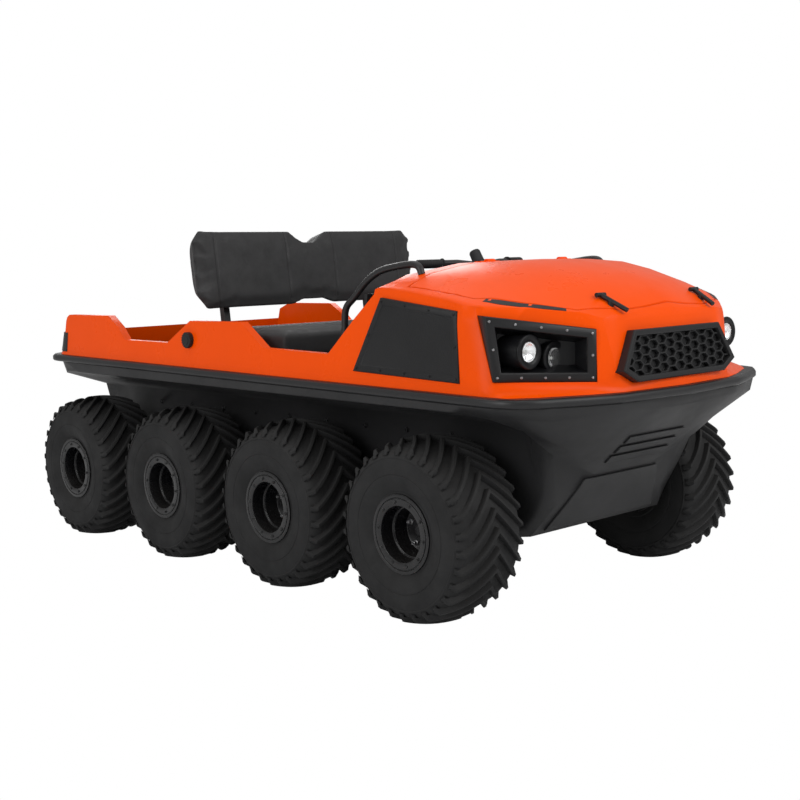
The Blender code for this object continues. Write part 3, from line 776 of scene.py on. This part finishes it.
def make_surface_trim(word, side):
    """Vent strip beside the hood and tail lamp, laid on the body."""
    rows = [[(side * x, y, 2.0) for x, y in line] for line in
            ([(0.5760, -1.1880), (0.5480, -1.2320), (0.5180, -1.2800), (0.4700, -1.3290),
              (0.4160, -1.3830)],
             [(0.5980, -1.1940), (0.5720, -1.2420), (0.5380, -1.2920), (0.4860, -1.3430),
              (0.4260, -1.3930)])]
    surface_patch(f"vent strip {word}", "upper_body", rows, (0, 0, -1), 0.0015, "trim")
    rows = [[(side * x, 1.8, z) for x in (0.435, 0.455, 0.475, 0.495, 0.515)]
            for z in (0.858, 0.874, 0.890, 0.906)]
    surface_patch(f"tail lamp {word}", "upper_body", rows, (0, -1, 0), 0.010, "red lens")


def make_bow_trim():
    """The bolted skid plate on the bow and the louvred vent above it."""
    heights = [0.460, 0.430, 0.400, 0.370, 0.340, 0.310, 0.285]
    rows = [[(share * (0.205 + 0.55 * (0.460 - z)), -1.8, z) for share in
             (-1, -0.75, -0.5, -0.25, 0, 0.25, 0.5, 0.75, 1)] for z in heights]
    surface_patch("skid plate", "lower_hull", rows, (0, 1, 0), 0.007, "black")
    for index in range(3):
        z, half = 0.611 - index * 0.0357, 0.155 + index * 0.004
        rows = [[(share * half, -1.8, z - drop) for share in (-1, -0.5, 0, 0.5, 1)]
                for drop in (0.0, 0.008, 0.024)]
        surface_patch(f"louvre {index}", "lower_hull", rows, (0, 1, 0), 0.008, "black")


# Each part of a headlamp: name, finish, steps, whether the profile closes, smoothing, profile.
LAMP_PARTS = (
    ("lamp ring", "black_and_painted_shade", 64, True, 32,
     [(-0.004, 0.0540), (0.0005, 0.0560), (0.0035, 0.0555), (0.0060, 0.0530), (0.0066, 0.0490),
      (0.0060, 0.0400), (0.0030, 0.0345), (-0.0030, 0.0325), (-0.0030, 0.0315),
      (-0.0060, 0.0308), (-0.0060, 0.0500)]),
    ("lamp barrel", "black_and_painted_shade", 48, False, 32,
     [(-0.0150, 0.0), (-0.0150, 0.0320), (-0.0050, 0.0320), (-0.0050, 0.0535),
      (-0.0900, 0.0560), (-0.0900, 0.0)]),
    ("reflector", "mirror", 14, True, 1,
     [(0.0000, 0.0312), (-0.0040, 0.0290), (-0.0085, 0.0230), (-0.0118, 0.0150),
      (-0.0135, 0.0075), (-0.0142, 0.0075), (-0.0140, 0.0290), (-0.0045, 0.0316)]),
    ("light chip", "valve", 20, False, 32,
     [(-0.0150, 0.0), (-0.0150, 0.0070), (-0.0110, 0.0066), (-0.0090, 0.0040), (-0.0085, 0.0)]),
    ("lamp lens", "lens", 48, False, 32,
     [(0.0006, 0.0), (0.0006, 0.0318), (0.0024, 0.0320), (0.0044, 0.0260), (0.0056, 0.0150),
      (0.0062, 0.0)]),
)


def make_lamp(word, side, index):
    """Ring, barrel, faceted reflector, light chip and lens of one headlamp."""
    x, face_y, z = LAMPS[index]
    for name, look, steps, closed, smooth, profile in LAMP_PARTS:
        turned_piece(f"{name} {word} {index}", profile, (side * x, face_y, z), (0, -1, 0), look,
                     "hull", steps, closed, smooth)


def make_grab_rail(word, side):
    """The bent tube beside the seat and its foot plate."""
    path = [(0.510, -0.390, 0.700), (0.506, -0.393, 0.850), (0.500, -0.400, 0.961),
            (0.500, -0.4105, 1.041), (0.500, -0.4600, 1.084), (0.500, -0.5325, 1.143),
            (0.500, -0.6085, 1.179), (0.500, -0.7000, 1.194), (0.500, -0.7745, 1.199),
            (0.500, -0.8050, 1.188), (0.500, -0.8175, 1.163)]
    sheet = bmesh.new()
    sweep(sheet, smooth_path([(side * x, y, z) for x, y, z in path]), 0.0128)
    turn(sheet, [(0.0, 0.0), (0.0, 0.0295), (0.003, 0.0295), (0.005, 0.0270), (0.005, 0.0150),
                 (0.012, 0.0135), (0.012, 0.0)], (side * 0.510, -0.390, 0.7005), (0, 0, 1), 32)
    rail = new_piece(f"grab rail {word}", sheet, "frame")
    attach(rail, "hull")


def make_grip(word, side):
    """A ribbed rubber grip on one end of the bar."""
    middle = COLUMN_TOP + COLUMN_AXIS * 0.04
    start = middle + Vector((side * 0.185, 0.02625, 0.012))
    end = middle + Vector((side * 0.298, 0.0545, 0.012))
    length = (end - start).length
    step = (length - 2 * GRIP_END) / GRIP_RIBS
    profile = [(0.0, 0.0145), (0.0, 0.0205), (0.004, 0.0205), (0.006, 0.0165)]
    for rib in range(GRIP_RIBS):
        along = GRIP_END + rib * step
        profile += [(along, 0.0162), (along + step * 0.25, 0.0176), (along + step * 0.6, 0.0176),
                    (along + step * 0.85, 0.0162)]
    profile += [(length - 0.004, 0.0172), (length, 0.0150), (length, 0.0145)]
    turned_piece(f"grip {word}", profile, start, end - start, "rubber", "handlebar", 28, True)


def make_switch_pod():
    """The clamp and switch pod at the middle of the handlebar."""
    turned_piece("switch pod", [(0.046, 0.0), (0.046, 0.0240), (0.050, 0.0255), (0.056, 0.0255),
                                (0.060, 0.0235), (0.100, 0.0225), (0.106, 0.0190), (0.108, 0.0)],
                 COLUMN_TOP, COLUMN_AXIS, "trim", "handlebar", 32)


def make_fuel_cap():
    """The ribbed fuel cap on its round seat, on the right side behind the bench."""
    sheet = bmesh.new()
    centre, outward = Vector((-0.680, 0.385, 0.915)), (-1, 0, 0)
    turn(sheet, [(-0.040, 0.0), (-0.040, 0.0440), (-0.0235, 0.0440), (-0.0220, 0.0420),
                 (-0.0220, 0.0315), (-0.001, 0.0300), (0.0, 0.0285), (0.0, 0.0)],
         centre, outward, 48)
    for step in range(CAP_RIBS):
        angle = math.tau * step / CAP_RIBS
        place = centre + 0.0305 * Vector((0, math.cos(angle), math.sin(angle)))
        turn(sheet, [(-0.022, 0.0), (-0.022, 0.0022), (0.0, 0.0022), (0.0012, 0.0014),
                     (0.0012, 0.0)], place, outward, 8)
    turn(sheet, [(-0.001, 0.0), (-0.001, 0.0180), (0.0015, 0.0180), (0.0025, 0.0165),
                 (0.0025, 0.0)], centre, outward, 36)
    cap = new_piece("fuel cap", sheet, "trim")
    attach(cap, "hull")


def make_corner_strip(word, side):
    """The dark strip moulded round a rear corner of the body."""
    rows = [[(side * (0.980 - share * 0.100), 1.705 + share * 0.100, z)
             for share in (0.0, 0.15, 0.3, 0.45, 0.6, 0.75, 0.9, 1.0)]
            for z in (0.835, 0.865, 0.895, 0.922)]
    surface_patch(f"corner strip {word}", "upper_body", rows, (-side, -1, 0), 0.005, "trim")


# Seats

def smooth_step(value):
    value = min(max(value, 0.0), 1.0)
    return value * value * (3 - 2 * value)


def soft_pad(node_name, shrink, voxel, cap, seams, rear_taper=0.0):
    """Stuffs a pad: a cloth skin under pressure, then its sewn seams."""
    node = NODES[node_name]
    sheet = bmesh.new()
    sheet.from_mesh(node.data)
    sheet.transform(node.matrix_world)
    bmesh.ops.remove_doubles(sheet, verts=sheet.verts, dist=WELD)
    low = Vector([min(v.co[k] for v in sheet.verts) for k in range(3)])
    high = Vector([max(v.co[k] for v in sheet.verts) for k in range(3)])
    middle, size = (low + high) / 2, high - low
    for vertex in sheet.verts:
        for k in range(3):
            share = 1 - 2 * shrink[k] / size[k]
            vertex.co[k] = middle[k] + (vertex.co[k] - middle[k]) * share
    if rear_taper:
        front = {}
        for vertex in sheet.verts:
            key = (round(vertex.co.x, 3), round(vertex.co.z, 3))
            front[key] = min(front.get(key, math.inf), vertex.co.y)
        for vertex in sheet.verts:
            key = (round(vertex.co.x, 3), round(vertex.co.z, 3))
            if vertex.co.y > front[key] + 0.02:
                vertex.co.x *= 1 - rear_taper / high.x
                vertex.co.z += (middle.z - vertex.co.z) * rear_taper / size.z
    pad = new_piece(f"{node_name} look", sheet, "vinyl", 180)
    remesh = pad.modifiers.new("even skin", "REMESH")
    remesh.mode, remesh.voxel_size = "VOXEL", voxel
    relax = pad.modifiers.new("eased corners", "SMOOTH")
    relax.factor, relax.iterations = 0.5, 6
    skin = applied(pad)
    rest = [vertex.co.copy() for vertex in skin.vertices]
    stuffing = pad.modifiers.new("stuffing", "CLOTH")
    cloth = stuffing.settings
    cloth.quality, cloth.mass = 5, 0.3
    cloth.tension_stiffness = cloth.compression_stiffness = 25.0
    cloth.shear_stiffness, cloth.bending_stiffness = 8.0, 1.5
    cloth.use_pressure, cloth.uniform_pressure_force = True, 4.0
    cloth.effector_weights.gravity = 0.0
    stuffing.point_cache.frame_start = 1
    stuffing.point_cache.frame_end = STUFFING_FRAMES
    for frame_number in range(1, STUFFING_FRAMES + 1):
        bpy.context.scene.frame_set(frame_number)
    skin = applied(pad)
    bpy.context.scene.frame_set(1)
    for vertex, start in zip(skin.vertices, rest):
        move = vertex.co - start
        if move.length > cap:
            vertex.co = start + move * (cap / move.length)
    finer = pad.modifiers.new("finer skin", "SUBSURF")
    finer.levels = finer.render_levels = 1
    skin = applied(pad)
    normals = [vertex.normal.copy() for vertex in skin.vertices]
    for vertex, normal in zip(skin.vertices, normals):
        depth = 0.0
        for axis, at, half_width, sink, side in seams:
            if normal.dot(Vector(side)) > 0.3:
                away = abs(vertex.co[axis] - at)
                depth = max(depth, sink * (1 - smooth_step(away / half_width)))
        vertex.co -= normal * depth
    for polygon in skin.polygons:
        polygon.use_smooth = True
    skin.materials.clear()
    skin.materials.append(FINISHES["vinyl"])
    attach(pad, "hull")
    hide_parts(node_name)


def build_seats():
    ahead, above = (0, -1, 0), (0, 0, 1)
    soft_pad("seat_back", (0.004, 0.003, 0.004), 0.008, 0.010,
             [(0, x, 0.006, 0.004, ahead) for x in (-0.505, -0.132, 0.132, 0.505)], 0.060)
    soft_pad("seat_cushion", (0.006, 0.006, 0.008), 0.010, 0.014,
             [(0, -0.198, 0.010, 0.007, above), (0, 0.198, 0.010, 0.007, above),
              (1, 0.105, 0.010, 0.004, above)])


def smooth_copy(node_name, look, angle, body):
    """A copy of a CAD node whose low facets are shaded as one curve."""
    node = NODES[node_name]
    sheet = bmesh.new()
    sheet.from_mesh(node.data)
    sheet.transform(node.matrix_world)
    bmesh.ops.remove_doubles(sheet, verts=sheet.verts, dist=WELD)
    bmesh.ops.dissolve_limit(sheet, angle_limit=math.radians(0.8), verts=sheet.verts,
                             edges=sheet.edges)
    piece = new_piece(f"{node_name} look", sheet, look, angle)
    even = piece.modifiers.new("even normals", "WEIGHTED_NORMAL")
    even.keep_sharp = True
    applied(piece)
    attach(piece, body)
    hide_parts(node_name)


def build_fittings():
    nut = head_shape("nut pattern", 6, 0.0085, 0.016, 0.0045)
    bolt = head_shape("bolt pattern", 6, 0.0055, 0.006, 0.002)
    screw = head_shape("screw pattern", 16, 0.0038, 0.0030, 0.0016)
    for word, side in (("left", 1), ("right", -1)):
        for number in (1, 2, 3, 4):
            make_tyre(word, side, number)
            make_rim(word, side, number, nut, bolt)
        for index in (0, 1):
            make_lamp(word, side, index)
        bezel, cover = make_bezel(word, side), make_side_panel(word, side)
        fasten(f"lamp screws {word}", border_places(bezel, 0.014, (4, 2, 4, 2)),
               screw, "steel", "hull", 0.9, 3)
        fasten(f"panel screws {word}", border_places(cover, 0.012, (4, 2, 3, 2)),
               screw, "trim", "hull", 1.0, 4)
        make_latch(word, side)
        make_surface_trim(word, side)
        make_corner_strip(word, side)
        make_grab_rail(word, side)
        make_grip(word, side)
    smooth_copy("hood", "orange", 44, "hood")
    smooth_copy("upper_body", "orange", 40, "hull")
    smooth_copy("lower_hull", "black", 36, "hull")
    smooth_copy("rub_rail", "rail", 60, "hull")
    make_switch_pod()
    make_fuel_cap()
    make_grille()
    make_bow_trim()
    clips = [(Vector((side * 0.4055, y, 0.600)), Vector((side, 0, 0))) for side in (-1, 1)
             for y in CLIP_Y]
    fasten("hull clips", clips, bolt, "trim", "hull", 1.6, 5)
    for pattern in (nut, bolt, screw):
        bpy.data.objects.remove(pattern)
    build_seats()


# Studio

def place_camera():
    forward = Vector((math.sin(CAMERA_YAW) * math.cos(CAMERA_PITCH),
                      math.cos(CAMERA_YAW) * math.cos(CAMERA_PITCH), math.sin(CAMERA_PITCH)))
    level = forward.cross(Vector((0, 0, 1))).normalized()
    upright = level.cross(forward)
    right = math.cos(CAMERA_ROLL) * level + math.sin(CAMERA_ROLL) * upright
    up = -math.sin(CAMERA_ROLL) * level + math.cos(CAMERA_ROLL) * upright
    data = bpy.data.cameras.new("photograph camera")
    data.sensor_width = SENSOR_WIDTH
    data.lens = CAMERA_LENS
    camera = add_object("photograph camera", data)
    axes = Matrix((right, up, -forward)).transposed().to_4x4()
    camera.matrix_world = Matrix.Translation(CAMERA_PLACE) @ axes
    bpy.context.scene.camera = camera


def soft_light(name, place, target, size, watts):
    data = bpy.data.lights.new(name, "AREA")
    data.shape = "RECTANGLE"
    data.size, data.size_y = size
    data.energy = watts
    light = add_object(name, data)
    light.location = place
    light.rotation_euler = (Vector(target) - Vector(place)).to_track_quat("-Z", "Y").to_euler()


def split_by_ray(tree, lighting, seen, output):
    """Shows the camera one shader and every other ray another."""
    camera_ray = put(tree, "ShaderNodeLightPath").outputs["Is Camera Ray"]
    mixed = put(tree, "ShaderNodeMixShader",
                {0: camera_ray, 1: lighting.outputs[0], 2: seen.outputs[0]})
    tree.links.new(mixed.outputs[0], tree.nodes[output].inputs["Surface"])


def build_studio():
    world = bpy.data.worlds.new("studio")
    world.use_nodes = True
    tree = world.node_tree
    backdrop = tree.nodes["Background"]
    backdrop.inputs["Color"].default_value = WHITE
    fill = put(tree, "ShaderNodeBackground", {"Color": WHITE, "Strength": 0.40})
    split_by_ray(tree, fill, backdrop, "World Output")
    bpy.context.scene.world = world

    mesh = bpy.data.meshes.new("studio floor")
    sheet = bmesh.new()
    bmesh.ops.create_circle(sheet, cap_ends=True, segments=64, radius=60.0)
    sheet.to_mesh(mesh)
    sheet.free()
    floor = add_object("studio floor", mesh)
    material, tree, shader = new_finish("pale studio floor", 0.9, specular_ior_level=0.1,
                                        base_color=(0.80, 0.80, 0.80, 1.0))
    glow = put(tree, "ShaderNodeEmission", {"Color": WHITE, "Strength": 1.0})
    split_by_ray(tree, shader, glow, "Material Output")
    mesh.materials.append(material)

    soft_light("front key", (1.2, -6.5, 4.2), (0, -0.8, 0.6), (4.5, 3.0), 205)
    soft_light("side fill", (-7.5, -0.5, 3.2), (0, 0.0, 0.5), (5.0, 3.0), 170)
    soft_light("top", (0.0, 0.3, 6.0), (0, 0, 0), (6.0, 6.0), 95)
    soft_light("rear rim", (4.5, 6.5, 4.0), (0, 0.5, 0.7), (4.0, 3.0), 130)
    bpy.context.scene.view_settings.view_transform = "Standard"


dress_cad_nodes()
build_fittings()
place_camera()
build_studio()
